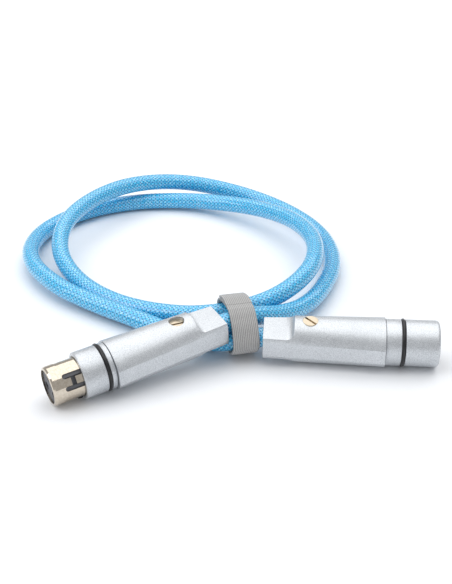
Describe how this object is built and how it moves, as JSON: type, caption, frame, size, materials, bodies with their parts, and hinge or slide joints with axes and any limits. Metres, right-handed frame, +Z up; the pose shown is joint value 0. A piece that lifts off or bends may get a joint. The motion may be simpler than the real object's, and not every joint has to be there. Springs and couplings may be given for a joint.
{
  "type": "xlr cable coil",
  "caption": "Coiled balanced audio cable with a socket connector and a pin connector, held by a hook-and-loop strap.",
  "frame": {"origin": "on the surface the cable lies on, below the middle of the box round the two connectors and the strap", "axes": "+Z up; +X from the socket connector on the left to the pin connector on the right; +Y away from the connectors towards the coil"},
  "size_m": [0.184, 0.1958, 0.0236],
  "materials": {
    "cast_metal": "satin die cast",
    "nickel": "polished warm nickel",
    "seal_rubber": "smooth",
    "dark_screw": "blackened",
    "insert_plastic": "matte",
    "contact_metal": "polished",
    "core_insulation": "matte",
    "cable_jacket": "clear glossy jacket over a woven braid",
    "pad_plastic": "matte",
    "clamp_screw": "turned",
    "strap_fabric": "ribbed woven"
  },
  "bodies": {
    "cable_set": {"female_body_shell": "cast_metal", "female_neck_ring": "cast_metal", "female_o_ring": "seal_rubber", "female_collar": "cast_metal", "female_nose_shell": "nickel", "female_insert_screw": "dark_screw", "female_contact_insert": "insert_plastic", "female_contact_sockets": "contact_metal", "female_conductors": "core_insulation", "female_jacket_end": "cable_jacket", "male_body_shell": "cast_metal", "male_neck_ring": "cast_metal", "male_o_ring": "seal_rubber", "male_barrel": "cast_metal", "male_contact_insert": "insert_plastic", "male_contact_pins": "contact_metal", "male_conductors": "core_insulation", "male_jacket_end": "cable_jacket", "cable_coil": "cable_jacket", "cable_lead_female": "cable_jacket", "cable_lead_male": "cable_jacket", "strap_loop": "strap_fabric"},
    "latch": {"female_latch_tongue": "nickel"},
    "female_clamp": {"female_clamp_pad": "pad_plastic"},
    "female_screw": {"female_clamp_screw": "clamp_screw"},
    "male_clamp": {"male_clamp_pad": "pad_plastic"},
    "male_screw": {"male_clamp_screw": "clamp_screw"},
    "tail": {"strap_tail": "strap_fabric"}
  },
  "joints": [
    {"name": "latch_press", "type": "hinge", "parent": "cable_set", "child": "latch", "pos_m": [-0.05802, -0.02599, 0.0137], "axis": [0.2956, -0.3921, -0.8712], "range_deg": [0, 4], "stiffness_Nm_per_rad": 0.05, "springref_deg": -1.15},
    {"name": "female_clamp_slide", "type": "slide", "parent": "cable_set", "child": "female_clamp", "axis": [-0.054, -0.0878, 0.9947], "range_m": [0, 0.0012]},
    {"name": "female_screw_turn", "type": "hinge", "parent": "female_clamp", "child": "female_screw", "pos_m": [-0.02712, -0.00262, 0.02048], "axis": [-0.054, -0.0878, 0.9947], "range_deg": [0, 541]},
    {"name": "male_clamp_slide", "type": "slide", "parent": "cable_set", "child": "male_clamp", "axis": [-0.0073, -0.1043, 0.9945], "range_m": [0, 0.0012]},
    {"name": "male_screw_turn", "type": "hinge", "parent": "male_clamp", "child": "male_screw", "pos_m": [0.02665, 0.00345, 0.01682], "axis": [-0.0073, -0.1043, 0.9945], "range_deg": [0, 541]},
    {"name": "strap_peel", "type": "hinge", "parent": "cable_set", "child": "tail", "pos_m": [-0.00206, 0.01345, 0.02092], "axis": [0.9781, 0.2079, 0], "range_deg": [0, 70]}
  ],
  "couplings": [
    {"joint": "female_screw_turn", "follows": "female_clamp_slide", "rad_per_m": 7854},
    {"joint": "male_screw_turn", "follows": "male_clamp_slide", "rad_per_m": 7854}
  ]
}
